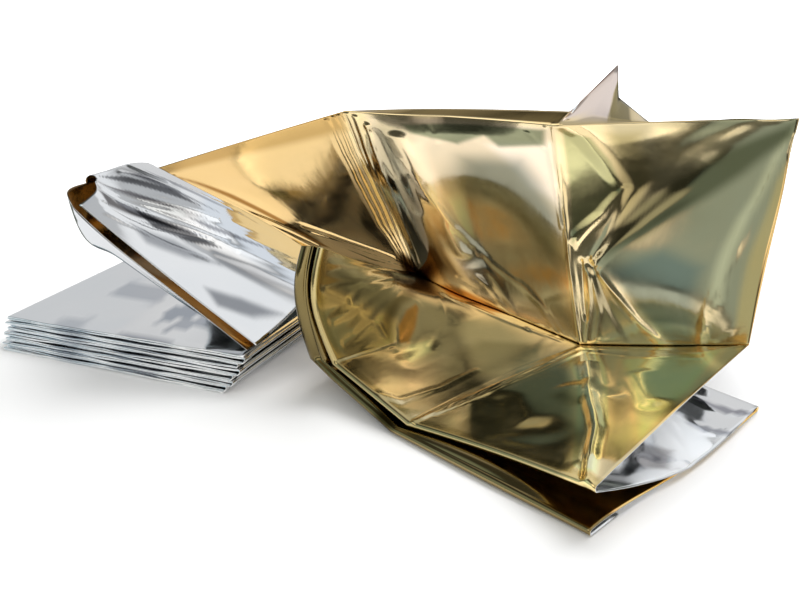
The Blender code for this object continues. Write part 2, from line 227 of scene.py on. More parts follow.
# The creases: how each rises to its line, straight (tent), rounded (soft) or steeply on one side
# (lap), how wide it is at its start and end, how far it stands out on the gold side, and its line
# in panels along and across the sheet.
CREASES = (
    # The fan of pleats that meets in the hollow.
    ("fan_1", "tent", (0.16, 0.14), 0.0288, ((1.97, 2.10), (1.60, 2.085), (1.30, 2.12), (1.10, 2.08))),
    ("fan_2", "tent", (0.16, 0.12), 0.032, ((1.98, 2.06), (1.60, 2.05), (1.30, 2.085), (1.07, 2.05))),
    ("fan_3", "tent", (0.17, 0.12), 0.0384, ((1.98, 2.03), (1.56, 2.02), (1.27, 2.055), (1.05, 2.03))),
    ("fan_4", "tent", (0.17, 0.12), 0.032, ((1.98, 1.995), (1.54, 1.985), (1.23, 2.02), (1.05, 2.0))),
    ("fan_5", "tent", (0.20, 0.12), 0.0352, ((1.96, 1.96), (1.55, 1.945), (1.24, 1.985), (1.07, 1.975))),
    ("fan_6", "lap", (0.30, 0.15), 0.06, ((1.90, 1.92), (1.52, 1.87), (1.24, 1.91), (1.10, 1.94))),
    # The flank, between the fan and the strip.
    ("flank_1", "tent", (0.20, 0.12), 0.032, ((1.19, 2.65), (1.08, 2.36), (1.03, 2.10))),
    ("flank_2", "tent", (0.25, 0.14), 0.04, ((1.23, 2.68), (1.14, 2.39), (1.06, 2.10))),
    ("flank_3", "soft", (0.40, 0.20), 0.07, ((1.30, 2.66), (1.19, 2.42), (1.09, 2.14))),
    ("flank_hem", "soft", (0.70, 0.60), -0.04, ((1.85, 3.02), (1.40, 2.97), (1.12, 2.80))),
    # The left face, between the front crease and the fan.
    ("slash_1", "tent", (0.12, 0.12), 0.028, ((1.71, 1.76), (1.45, 1.64), (1.24, 1.54))),
    ("slash_2", "tent", (0.10, 0.10), 0.02, ((1.66, 1.72), (1.42, 1.635), (1.28, 1.56))),
    ("slash_3", "tent", (0.14, 0.10), 0.028, ((1.36, 1.60), (1.21, 1.49), (1.15, 1.36), (1.10, 1.26))),
    ("slash_4", "tent", (0.12, 0.10), 0.032, ((1.16, 1.34), (1.09, 1.23), (0.99, 1.13))),
    ("slash_5", "tent", (0.10, 0.10), 0.02, ((1.15, 1.30), (1.08, 1.19), (1.02, 1.11))),
    ("flame", "soft", (0.60, 0.50), 0.063, ((1.84, 1.77), (1.60, 1.67), (1.42, 1.64), (1.25, 1.61))),
    ("flame_side", "soft", (0.60, 0.50), -0.056, ((1.85, 1.88), (1.60, 1.78), (1.45, 1.75))),
    ("crescent", "soft", (0.35, 0.35), 0.012, ((1.05, 1.76), (1.16, 1.62), (1.19, 1.53), (1.0, 1.39))),
    ("crescent_dip", "soft", (0.40, 0.40), -0.02, ((1.06, 1.62), (1.08, 1.53))),
    ("crescent_edge", "tent", (0.15, 0.10), 0.02, ((1.14, 1.58), (1.05, 1.50), (0.98, 1.40))),
    ("notch_1", "tent", (0.12, 0.08), 0.016, ((1.93, 1.62), (1.76, 1.58))),
    ("notch_2", "tent", (0.12, 0.08), 0.016, ((1.90, 1.42), (1.75, 1.42))),
    ("notch_3", "tent", (0.12, 0.08), 0.016, ((1.93, 1.15), (1.83, 1.07))),
    # The crease between the faces and the folded facets beside it.
    ("post_1", "tent", (0.15, 0.12), 0.06, ((2.0, 1.02), (1.68, 1.01), (1.44, 1.0), (1.0, 1.0))),
    ("post_2", "tent", (0.12, 0.12), 0.035, ((1.98, 1.06), (1.70, 1.045), (1.45, 1.03))),
    ("kite_rim", "tent", (0.50, 0.50), 0.08,
     ((2.0, 0.98), (1.93, 0.91), (1.80, 0.84), (1.69, 0.79), (1.62, 0.75), (1.50, 0.83), (1.41, 0.96))),
    ("lobe_rim", "tent", (0.30, 0.20), 0.06, ((1.62, 0.75), (1.54, 0.75), (1.41, 0.78), (1.30, 0.85))),
    ("lobe_edge", "tent", (0.20, 0.20), 0.032, ((1.50, 0.83), (1.37, 0.95))),
    ("tuck_left", "tent", (0.15, 0.12), 0.025, ((1.40, 0.99), (1.16, 0.985), (1.01, 1.0))),
    ("tuck_right", "tent", (0.15, 0.15), 0.03, ((1.29, 0.87), (1.16, 0.89), (1.01, 0.96))),
    ("tuck_dip", "soft", (0.30, 0.25), -0.06, ((1.30, 0.92), (1.10, 0.94))),
    # The right face, creased outward from its dimple.
    ("dimple", "soft", (0.50, 0.50), -0.1, ((1.29, 0.86), (1.28, 0.84))),
    ("ray_1", "tent", (0.12, 0.30), 0.05, ((1.28, 0.83), (1.16, 0.69), (1.08, 0.61), (1.02, 0.53))),
    ("ray_2", "tent", (0.10, 0.15), 0.015, ((1.15, 0.74), (1.06, 0.63), (1.02, 0.55))),
    ("ray_3", "soft", (0.30, 0.50), -0.02, ((1.24, 0.83), (1.12, 0.76), (1.03, 0.70))),
    ("ray_4", "tent", (0.12, 0.20), 0.03, ((1.25, 0.85), (1.12, 0.84), (1.02, 0.90))),
    ("sweep_dip", "soft", (0.40, 1.60), -0.09, ((1.31, 0.80), (1.45, 0.62), (1.72, 0.35), (1.93, 0.10))),
    ("sweep_rim", "soft", (0.30, 1.00), 0.035, ((1.35, 0.80), (1.60, 0.65), (1.85, 0.45), (1.98, 0.25))),
    ("side_roll", "soft", (0.25, 0.35), 0.04, ((1.90, 0.01), (1.62, 0.08), (1.35, 0.13), (1.0, 0.29))),
    ("side_line", "tent", (0.10, 0.12), 0.045, ((1.82, 0.03), (1.51, 0.12), (1.17, 0.155), (1.01, 0.285))),
    ("corner_1", "tent", (0.12, 0.15), 0.012, ((0.99, 0.29), (1.04, 0.16), (1.09, 0.03))),
    ("corner_2", "tent", (0.10, 0.12), 0.01, ((0.98, 0.28), (1.01, 0.14), (1.03, 0.01))),
    # The front panel, with the double crease between its halves.
    ("seam_1", "tent", (0.12, 0.12), 0.045, ((0.94, 0.94), (0.93, 0.60), (0.92, 0.23), (1.0, 0.02))),
    ("seam_2", "tent", (0.15, 0.12), 0.035, ((0.88, 0.84), (0.84, 0.52), (0.86, 0.18))),
    ("double_1", "tent", (0.20, 0.15), 0.085, ((0.95, 0.96), (0.66, 0.91), (0.37, 0.93), (0.02, 0.98))),
    ("double_2", "tent", (0.30, 0.15), 0.06, ((0.88, 0.89), (0.60, 0.87), (0.30, 0.91), (0.11, 0.95))),
    ("cross", "soft", (0.55, 0.40), 0.17,
     ((0.72, 0.72), (0.55, 0.55), (0.41, 0.42), (0.25, 0.22), (0.03, 0.04))),
    ("front_swell", "soft", (1.40, 1.40), 0.15, ((0.46, 0.55), (0.42, 0.37), (0.12, 0.12))),
    ("front_dip", "soft", (1.30, 1.50), -0.12, ((0.29, 0.79), (0.13, 0.60), (0.18, 0.45))),
    ("front_side", "soft", (1.00, 1.00), 0.12, ((0.66, 0.36), (0.49, 0.14))),
    # The scrolled half, creased towards the hollow.
    ("hook", "tent", (0.15, 0.12), 0.015, ((0.01, 1.47), (0.13, 1.50), (0.23, 1.52), (0.29, 1.47))),
    ("moon_1", "soft", (0.35, 0.30), 0.02, ((0.22, 1.75), (0.31, 1.83), (0.43, 1.91), (0.65, 1.96))),
    ("moon_2", "soft", (0.30, 0.30), 0.012, ((0.17, 1.61), (0.25, 1.66), (0.32, 1.62), (0.32, 1.56))),
    ("spoke_1", "tent", (0.30, 0.12), 0.028, ((0.10, 1.94), (0.35, 1.96), (0.71, 1.97))),
    ("spoke_2", "soft", (0.50, 0.15), -0.035, ((0.08, 1.83), (0.28, 1.84), (0.60, 1.90))),
    ("spoke_3", "tent", (0.35, 0.15), 0.036, ((0.08, 1.67), (0.27, 1.72), (0.58, 1.84))),
    ("spoke_4", "soft", (0.40, 0.15), -0.035, ((0.10, 1.56), (0.27, 1.62), (0.58, 1.79))),
    ("crumple", "tent", (0.12, 0.12), 0.025,
     ((0.34, 1.49), (0.40, 1.59), (0.51, 1.67), (0.63, 1.71), (0.63, 1.66), (0.50, 1.54), (0.39, 1.46))),
    ("lens", "soft", (0.20, 0.20), -0.03, ((0.37, 1.51), (0.46, 1.58), (0.56, 1.64))),
    ("arc", "tent", (0.30, 0.20), 0.04, ((0.04, 1.21), (0.08, 1.13), (0.26, 1.10), (0.47, 1.11))),
    ("patch", "soft", (0.90, 0.80), 0.035, ((0.51, 1.45), (0.42, 1.38), (0.30, 1.36))),
    ("stem", "tent", (0.15, 0.15), 0.04, ((0.83, 1.74), (0.65, 1.52), (0.46, 1.40))),
    ("valley_fold", "tent", (0.20, 0.15), 0.06, ((0.87, 1.75), (0.92, 1.61), (0.94, 1.32), (0.96, 1.08))),
    ("knot_1", "soft", (0.15, 0.15), 0.07, ((0.29, 1.47), (0.31, 1.46))),
    ("knot_2", "soft", (0.18, 0.18), 0.084, ((0.89, 1.74), (0.87, 1.76))),
    ("knot_3", "soft", (0.18, 0.18), 0.084, ((0.95, 1.28), (0.94, 1.26))),
    # The silver flap at the lower right.
    ("flap_1", "tent", (0.12, 0.12), -0.07, ((-0.73, 0.24), (-0.71, 0.10), (-0.75, 0.02), (-0.9, 0.0))),
    ("flap_2", "tent", (0.12, 0.12), -0.08, ((-0.86, 0.30), (-0.87, 0.07), (-0.95, 0.0))),
    ("flap_blot", "soft", (0.60, 0.60), 0.07, ((-0.40, 0.10), (-0.50, 0.02))),
    # The ply behind the ridge.
    ("back_1", "soft", (1.2, 0.8), 0.15, ((2.30, 2.60), (2.55, 2.35), (2.90, 2.20))),
    ("back_2", "soft", (0.8, 1.2), -0.12, ((2.25, 1.90), (2.60, 1.75), (2.95, 1.80))),
    ("back_3", "tent", (0.6, 0.8), 0.12, ((2.25, 1.08), (2.55, 1.30), (2.95, 1.50))),
    ("back_4", "soft", (0.9, 0.9), 0.12, ((2.25, 0.45), (2.55, 0.35), (2.95, 0.30))),
    ("back_5", "tent", (0.7, 0.7), 0.10, ((2.30, 2.90), (2.60, 2.70), (2.98, 2.75))),
    ("back_6", "tent", (0.5, 0.5), 0.08, ((2.28, 2.10), (2.50, 2.00), (2.75, 2.05))),
    # The raised silver strip, wrinkled along its length.
    ("streak_1", "tent", (0.25, 0.15), -0.088, ((2.08, 3.66), (2.28, 3.50), (2.40, 3.38), (2.55, 3.26))),
    ("streak_2", "soft", (0.30, 0.25), 0.066, ((2.10, 3.72), (2.30, 3.57), (2.50, 3.45), (2.64, 3.36))),
    ("streak_3", "tent", (0.20, 0.15), -0.077, ((2.10, 3.80), (2.34, 3.60), (2.54, 3.47), (2.70, 3.40))),
    ("streak_4", "soft", (0.25, 0.20), 0.066, ((2.12, 3.87), (2.39, 3.68), (2.52, 3.55), (2.61, 3.45))),
    ("streak_5", "tent", (0.20, 0.20), -0.066, ((2.16, 3.92), (2.35, 3.80), (2.51, 3.72), (2.66, 3.62))),
    ("streak_6", "tent", (0.20, 0.12), -0.055, ((2.09, 3.42), (2.20, 3.32), (2.33, 3.24))),
    ("streak_7", "tent", (0.30, 0.30), -0.066, ((2.07, 3.30), (2.15, 3.27), (2.24, 3.22))),
    ("streak_8", "tent", (0.12, 0.10), -0.039, ((2.20, 3.20), (2.40, 3.09), (2.61, 3.04), (2.80, 3.04))),
    ("streak_9", "soft", (0.25, 0.25), -0.02, ((2.53, 3.36), (2.69, 3.25), (2.95, 3.15))),
    ("streak_10", "soft", (0.25, 0.25), -0.02, ((2.60, 3.20), (2.75, 3.12), (2.97, 3.08))),
    ("streak_11", "soft", (0.25, 0.25), -0.02, ((2.66, 3.54), (2.79, 3.46), (2.98, 3.40))),
    ("streak_12", "soft", (0.25, 0.25), -0.02, ((2.45, 3.50), (2.70, 3.38), (2.97, 3.28))),
    # The crushed corner of the strip, nearly flat.
    ("crush_1", "soft", (0.45, 0.45), -0.012, ((2.75, 3.82), (2.83, 3.76), (2.91, 3.70), (3.0, 3.64))),
    ("crush_2", "soft", (0.45, 0.45), 0.01, ((2.80, 3.78), (2.90, 3.86), (2.98, 3.90))),
    ("crush_3", "soft", (0.45, 0.45), -0.01, ((2.88, 3.68), (2.93, 3.76), (2.96, 3.84))),
    ("crush_4", "soft", (0.40, 0.40), 0.012, ((2.84, 3.84), (2.95, 3.80))),
    ("crush_5", "soft", (0.45, 0.45), -0.01, ((2.61, 3.93), (2.70, 3.87), (2.79, 3.80))),
    ("crush_6", "soft", (0.45, 0.45), -0.01, ((2.32, 3.76), (2.42, 3.80), (2.50, 3.76), (2.60, 3.78))),
    ("crush_7", "soft", (0.30, 0.30), 0.01, ((2.36, 3.86), (2.50, 3.88), (2.60, 3.86))),
    ("crush_8", "soft", (0.45, 0.45), 0.01, ((2.56, 3.66), (2.64, 3.70), (2.72, 3.66))),
    # The near rim of the strip's lower ply.
    ("rim_1", "tent", (0.10, 0.10), 0.024, ((1.90, 3.93), (1.50, 3.94), (1.02, 3.95))),
)

# How far creases wander off their lines, and the slow and the quick wave in which they do so, along
# and across the sheet, in radians a centimetre.
WANDER = 0.008
WANDER_ALONG = (1.9, 4.3)
WANDER_ACROSS = (2.1, 3.7)

# How many times steeper a lap is on its steep side.
LAP_STEEPNESS = 5.0

# Painted light: where a side of the film is painted darker, paler or warmer than its plain colour,
# as painted reflections, shade and highlights: the colour it is multiplied by, how soft the edge
# is, and the outline in panels along and across the sheet.
GOLD_PAINTED_LIGHT = (
    # Painted shade on the flank's brow and hem.
    ((0.68, 0.62, 0.50), 0.5, ((2.02, 3.0), (2.02, 2.0), (1.85, 2.02), (1.86, 2.3), (1.90, 3.0))),
    ((0.40, 0.28, 0.16), 0.18, ((1.86, 3.0), (1.60, 2.92), (1.10, 2.79), (1.10, 2.70), (1.60, 2.86))),
    # The left face: painted darker reflections on its brow, its middle and the side by the pleats, and
    # painted shade in the hollow below.
    ((0.30, 0.37, 0.32), 0.2,
     ((1.93, 1.74), (1.96, 1.06), (1.86, 1.07), (1.80, 1.30), (1.87, 1.36), (1.79, 1.50), (1.87, 1.70))),
    ((0.34, 0.40, 0.42), 0.9,
     ((1.70, 1.50), (1.74, 1.20), (1.50, 1.03), (1.05, 1.04), (1.05, 1.48), (1.28, 1.68))),
    ((0.70, 0.72, 0.66), 0.6, ((1.96, 1.86), (1.89, 1.72), (1.58, 1.66), (1.31, 1.72), (1.12, 1.95))),
    ((0.10, 0.07, 0.04), 0.35, ((1.13, 2.08), (1.10, 1.97), (0.99, 1.91), (0.93, 1.95), (1.0, 2.1))),
    # Painted darker reflections on the folded facets beside the front crease, and on the sweep across
    # the right face.
    ((0.55, 0.64, 0.56), 0.12,
     ((1.97, 0.98), (1.91, 0.87), (1.77, 0.80), (1.61, 0.76), (1.5, 0.83), (1.38, 0.97))),
    ((0.38, 0.40, 0.34), 0.45,
     ((1.33, 0.76), (1.56, 0.67), (1.80, 0.32), (1.98, 0.01), (1.90, 0.0), (1.70, 0.20), (1.52, 0.43),
      (1.39, 0.58))),
    ((0.70, 0.68, 0.55), 0.5, ((1.93, 0.80), (1.93, 0.67), (1.66, 0.62), (1.42, 0.72), (1.57, 0.78))),
    # Painted darker reflections on the front panel and the scrolled half.
    ((0.50, 0.54, 0.50), 0.8, ((0.02, 0.95), (0.71, 0.87), (0.55, 0.59), (0.04, 0.10), (0.02, 0.5))),
    ((0.50, 0.50, 0.42), 0.8, ((0.03, 1.94), (0.60, 1.88), (0.32, 1.45), (0.05, 1.27), (0.02, 1.43))),
    # Painted shade on the plies tucked under the scoop, and on the shelf.
    ((0.34, 0.32, 0.25), 0.3, ((-1.85, -0.1), (-1.85, 1.1), (-2.3, 1.1), (-2.3, -0.1))),
    ((0.24, 0.23, 0.17), 0.3, ((-1.6, 1.0), (-1.6, 2.3), (-2.3, 2.3), (-2.3, 1.0))),
    ((0.42, 0.38, 0.28), 0.08, ((2.10, 2.05), (2.10, 1.0), (2.01, 1.0), (2.01, 2.05))),
    # The mouth and the near rim of the raised strip: painted shade over the mouth and the gold under
    # the rim, where the folded edges lie in shade, a painted highlight as a pale line along the rim, and
    # a paler, bluer painted reflection by the mouth.
    ((0.17, 0.13, 0.10), 0.06, ((0.97, 3.45), (2.12, 3.45), (2.12, 4.05), (0.97, 4.05))),
    ((2.6, 3.8, 6.6), 0.04, ((0.97, 3.90), (1.97, 3.90), (1.97, 3.935), (0.97, 3.935))),
    ((0.80, 0.98, 1.70), 0.1, ((1.88, 3.1), (2.12, 3.1), (2.12, 3.52), (1.88, 3.52))),
    # A paler, warmer painted reflection on the bottom flap.
    ((1.2, 1.0, 0.8), 0.3, ((-1.0, -0.1), (-1.0, 2.1), (-1.87, 2.1), (-1.87, -0.1))),
    # The right face: painted darker reflections all over, but for its painted pale reflections and
    # highlights.
    ((0.60, 0.62, 0.64), 0.5,
     ((2.0, 0.80), (2.0, -0.05), (1.0, -0.05), (1.0, 0.92), (1.30, 0.86), (1.60, 0.76))),
    ((1.7, 1.65, 1.6), 0.5, ((1.96, 0.60), (1.95, 0.26), (1.78, 0.41), (1.73, 0.59))),
    ((1.9, 1.8, 1.8), 0.25, ((1.29, 0.82), (1.27, 0.73), (1.0, 0.46), (1.0, 0.56))),
    ((0.60, 0.74, 0.90), 0.5, ((1.27, 0.73), (1.36, 0.45), (1.30, 0.25), (1.0, 0.33), (1.0, 0.46))),
    ((1.75, 1.7, 1.65), 0.3,
     ((1.96, 0.0), (1.82, 0.03), (1.51, 0.12), (1.17, 0.155), (1.01, 0.285), (1.01, 0.33), (1.2, 0.21),
      (1.5, 0.17), (1.8, 0.07))),
    ((1.5, 1.25, 0.9), 0.2,
     ((1.95, -0.05), (1.60, -0.05), (1.0, -0.05), (1.0, 0.09), (1.38, 0.07), (1.66, 0.04))),
    # The scrolled half: painted shade in its dark pit and in the gap in the valley, a painted orange
    # reflection in the lens, and painted darker and paler reflections in the patches round it.
    ((0.45, 0.36, 0.24), 0.8,
     ((1.1, 2.1), (1.04, 1.90), (0.82, 1.72), (0.64, 1.78), (0.60, 1.94), (0.85, 2.1))),
    ((0.25, 0.18, 0.11), 0.4, ((1.1, 2.1), (1.02, 1.92), (0.86, 1.84), (0.78, 1.92), (0.88, 2.1))),
    ((1.1, 0.68, 0.30), 0.10,
     ((0.36, 1.50), (0.42, 1.59), (0.52, 1.66), (0.61, 1.69), (0.60, 1.66), (0.50, 1.56), (0.40, 1.48))),
    ((0.50, 0.46, 0.35), 0.3,
     ((0.75, 1.85), (0.60, 1.80), (0.42, 1.70), (0.31, 1.60), (0.32, 1.50), (0.40, 1.61), (0.51, 1.69),
      (0.64, 1.73))),
    ((1.6, 1.55, 1.4), 0.4,
     ((0.53, 1.46), (0.44, 1.36), (0.30, 1.33), (0.26, 1.42), (0.33, 1.47), (0.42, 1.47))),
    ((0.66, 0.66, 0.58), 0.5,
     ((0.92, 1.06), (0.70, 1.32), (0.50, 1.30), (0.36, 1.20), (0.15, 1.10), (0.50, 1.04))),
    ((0.72, 0.52, 0.32), 0.2,
     ((1.0, 1.86), (1.05, 1.70), (1.04, 1.55), (0.99, 1.45), (0.95, 1.6), (0.96, 1.8))),
    # Painted pale reflections and highlights on the two faces beside the front crease, and on the
    # front panel.
    ((0.90, 0.92, 1.12), 0.3, ((1.02, 1.02), (1.98, 1.02), (1.98, 1.90), (1.02, 1.90))),
    ((1.25, 1.28, 1.45), 0.5, ((1.80, 1.35), (1.88, 1.04), (1.56, 1.04), (1.60, 1.18))),
    ((1.45, 1.4, 1.4), 0.4,
     ((1.86, 1.80), (1.60, 1.74), (1.32, 1.68), (1.25, 1.60), (1.45, 1.60), (1.80, 1.66))),
    ((2.3, 2.2, 2.1), 0.5,
     ((0.95, 0.92), (0.75, 0.67), (0.32, 0.24), (0.0, 0.0), (0.0, 0.14), (0.30, 0.42), (0.55, 0.66),
      (0.80, 0.90))),
    ((1.9, 1.7, 1.45), 0.6, ((0.80, 0.59), (0.95, 0.13), (0.60, 0.04), (0.27, 0.02))),
    # Painted reflections on the flank as a whole and on the scoop as a whole, and painted shade over
    # its lip.
    ((0.90, 0.80, 0.66), 0.3, ((1.0, 2.02), (2.02, 2.02), (2.02, 3.05), (1.0, 3.05))),
    ((0.84, 0.87, 0.90), 0.3, ((0.05, -0.1), (1.0, -0.1), (1.0, 2.1), (0.05, 2.1))),
    ((0.60, 0.60, 0.50), 0.1, ((-0.06, -0.1), (0.06, -0.1), (0.06, 2.3), (-0.06, 2.3))),
    # Painted reflections and shade on the peak.
    ((0.92, 0.98, 1.55), 0.05, ((2.02, 1.0), (2.3, 1.0), (2.3, 0.875), (2.01, 0.80))),
    ((0.30, 0.20, 0.14), 0.04, ((2.085, 1.0), (2.12, 1.0), (2.12, 0.875), (2.085, 0.875))),
    ((0.30, 0.30, 0.22), 0.05, ((2.01, 0.80), (2.3, 0.865), (2.3, 0.70), (2.01, 0.70))),
)

# Painted reflections and shade on the silver side.
SILVER_PAINTED_LIGHT = (
    # Painted shade and dark reflections on the silver flap: its dark blot and its fold lines.
    ((0.42, 0.40, 0.40), 0.25, ((-0.34, 0.22), (-0.30, 0.10), (-0.42, 0.04), (-0.52, 0.10), (-0.46, 0.22))),
    ((0.45, 0.46, 0.50), 0.05, ((-0.74, 0.30), (-0.70, 0.10), (-0.75, 0.0), (-0.78, 0.0), (-0.73, 0.12))),
    ((0.40, 0.40, 0.44), 0.05, ((-0.86, 0.34), (-0.86, 0.08), (-0.90, 0.0), (-0.93, 0.0), (-0.89, 0.10))),
    # Painted darker reflections on the pale lower ply of the strip, and on its smooth part beside the
    # canopy.
    ((0.76, 0.76, 0.77), 0.3, ((1.0, 3.4), (2.0, 3.4), (2.0, 4.05), (1.0, 4.05))),
    ((0.86, 0.90, 0.95), 0.5, ((2.35, 2.95), (3.02, 2.95), (3.02, 3.45), (2.50, 3.40))),
    # Painted dark reflections: the dark streaks of the raised strip.
    ((0.25, 0.25, 0.26), 0.06, ((2.06, 3.56), (2.20, 3.43), (2.46, 3.25), (2.30, 3.29), (2.12, 3.43))),
    ((0.28, 0.28, 0.30), 0.06, ((2.12, 3.74), (2.34, 3.60), (2.60, 3.45), (2.48, 3.56), (2.26, 3.72))),
    ((0.22, 0.22, 0.23), 0.06, ((2.28, 3.64), (2.52, 3.51), (2.66, 3.46), (2.56, 3.58), (2.40, 3.67))),
    ((0.40, 0.40, 0.42), 0.06, ((2.45, 3.42), (2.62, 3.30), (2.85, 3.20), (2.70, 3.29), (2.55, 3.39))),
    ((0.22, 0.21, 0.22), 0.10, ((2.08, 3.66), (2.30, 3.50), (2.52, 3.32), (2.40, 3.40), (2.20, 3.52))),
    ((0.30, 0.30, 0.32), 0.12, ((2.10, 3.40), (2.30, 3.30), (2.52, 3.19), (2.34, 3.25), (2.14, 3.32))),
    ((0.20, 0.19, 0.19), 0.12, ((2.07, 3.80), (2.25, 3.70), (2.50, 3.50), (2.35, 3.66), (2.15, 3.84))),
    ((0.45, 0.46, 0.48), 0.35, ((2.30, 3.82), (2.50, 3.66), (2.70, 3.60), (2.58, 3.74), (2.40, 3.86))),
    ((0.35, 0.36, 0.38), 0.30, ((2.72, 3.86), (2.84, 3.74), (2.98, 3.66), (2.92, 3.80), (2.80, 3.92))),
    ((0.60, 0.61, 0.63), 0.35, ((2.62, 3.52), (2.80, 3.44), (2.98, 3.42), (2.86, 3.54), (2.70, 3.60))),
    ((0.50, 0.50, 0.52), 0.12, ((2.12, 3.24), (2.36, 3.12), (2.62, 3.05), (2.40, 3.15), (2.20, 3.24))),
    # Painted reflections: the mirrored brackets and wedges on the stack's top.
    ((0.42, 0.46, 0.52), 0.07, ((-0.55, 3.55), (-0.66, 3.42), (-0.62, 3.30), (-0.50, 3.38))),
    ((0.30, 0.31, 0.33), 0.12, ((-0.86, 3.12), (-0.70, 3.06), (-0.55, 3.10), (-0.72, 3.16))),
    ((0.50, 0.53, 0.58), 0.07, ((-0.62, 3.62), (-0.74, 3.50), (-0.70, 3.40), (-0.60, 3.52))),
    ((0.50, 0.52, 0.56), 0.10, ((-0.45, 3.72), (-0.60, 3.78), (-0.72, 3.70), (-0.58, 3.66))),
    ((0.62, 0.64, 0.68), 0.12, ((-0.18, 3.20), (-0.40, 3.24), (-0.44, 3.40), (-0.20, 3.36))),
    ((0.70, 0.72, 0.75), 0.25, ((-0.40, 3.95), (-0.30, 3.60), (-0.20, 3.65), (-0.28, 3.97))),
)


def spread(strips, crowd=0.0):
    """Shares from 0 to 1, without the 0, that lie closer together at one end."""
    even = np.arange(1, strips + 1) / strips
    return even + crowd * even * (even - 1)


def bend(places, knots, sharp, shares):
    """A smooth run through places, which are points or whole lines, broken where sharp."""
    places = np.array(places, float)
    last = len(places) - 1

    def slope(i):
        return (places[i + 1] - places[i]) / (knots[i + 1] - knots[i])

    out = [places[0]]
    for i in range(last):
        gap = knots[i + 1] - knots[i]
        start = None if sharp[i] or i == 0 else (slope(i - 1) + slope(i)) / 2
        stop = None if sharp[i + 1] or i + 1 == last else (slope(i) + slope(i + 1)) / 2
        if start is None:
            start = slope(i) if stop is None else 1.5 * slope(i) - 0.5 * stop
        if stop is None:
            stop = 1.5 * slope(i) - 0.5 * start
        for t in shares[i]:
            out.append(
                (2 * t**3 - 3 * t**2 + 1) * places[i]
                + (t**3 - 2 * t**2 + t) * gap * start
                + (3 * t**2 - 2 * t**3) * places[i + 1]
                + (t**3 - t**2) * gap * stop
            )
    return np.array(out)


def line_of(along, creased, points, first=0):
    """A line of a table as rows of x, y, z and its place along and across the sheet."""
    used = COLUMNS[first:first + len(points)]
    knots = [column[1] for column in used]
    shares = [spread(strips, crowd) for _, _, strips, crowd in used]
    line = bend(points, knots, [column[0] in creased for column in used], shares)
    across = [knots[:1]] + [
        knots[i] + (knots[i + 1] - knots[i]) * shares[i] for i in range(len(knots) - 1)
    ]
    return np.column_stack([line, np.full(len(line), along), np.concatenate(across)])


def lines_of(table, first=0):
    return [line_of(along, creased, points, first) for _, _, along, _, creased, points in table]


def turn(low, high, inside):
    """The rows of a rounded fold between two lines, which bulges away from the line inside."""
    middle, arm = (low[:, :3] + high[:, :3]) / 2, (high[:, :3] - low[:, :3]) / 2
    reach = middle - inside[:, :3]
    reach -= arm * (np.sum(reach * arm, 1) / np.sum(arm * arm, 1))[:, None]
    bulge = np.minimum(np.linalg.norm(arm, axis=1), MOST_BULGE)
    reach *= (bulge / np.linalg.norm(reach, axis=1))[:, None]
    rows = []
    for share in np.arange(1, TURN_STEPS) / TURN_STEPS:
        angle = math.pi * (share - 0.5)
        place = low[:, 3:] + (high[:, 3:] - low[:, 3:]) * share
        round_point = middle + reach * math.cos(angle) + arm * math.sin(angle)
        rows.append(np.column_stack([round_point, place]))
    return rows


def grow(lines, kinds, counts):
    """All rows through some lines of one width, with a rounded fold after each turn."""
    rows, start = [], 0
    for i, kind in enumerate(kinds):
        if kind == "turn" or i + 1 == len(lines):
            run = lines[start:i + 1]
            sharp = [k != "smooth" for k in kinds[start:i + 1]]
            knots = [line[0, 3] for line in run]
            rows.extend(bend(run, knots, sharp, [spread(n) for n in counts[start:i]]))
            start = i + 1
        if kind == "turn":
            inside = (lines[i - 1] + lines[i + 2]) / 2
            rows.extend(turn(lines[i], lines[i + 1], inside))
    return rows


class Sheet:
    """The points of the sheet and the faces of each piece of it, collected row by row."""

    def __init__(self):
        self.points = []
        self.faces = {}

    def add(self, piece, rows, start=None, turned=False):
        """Adds rows, joins each to the one before and returns their point numbers."""
        made = []
        for row in rows:
            first = len(self.points)
            self.points.extend(row)
            made.append(list(range(first, first + len(row))))
            if start is not None:
                self.join(piece, start, made[-1], turned)
            start = made[-1]
        return made

    def join(self, piece, one, two, turned=False):
        faces = self.faces.setdefault(piece, [])
        for i in range(min(len(one), len(two)) - 1):
            corners = (one[i], one[i + 1], two[i + 1], two[i])
            faces.append(corners[::-1] if turned else corners)


def strips_up_to(column):
    return sum(strips for _, _, strips, _ in COLUMNS[:column])


def peaked(shelf):
    """The shelf line with its peak put in, straight between the peak's points."""
    places = [place for _, place, _ in PEAK]
    line = shelf.copy()
    on_peak = (line[:, 4] >= places[0]) & (line[:, 4] <= places[-1])
    for axis in range(3):
        heights = [point[axis] for _, _, point in PEAK]
        line[on_peak, axis] = np.interp(line[on_peak, 4], places, heights)
    return line


def wave(waves, along, layer):
    """How far some waves reach together, at one place of a layer's edge."""
    return sum(math.sin(along * fast + layer * on) * height for fast, on, height in waves)


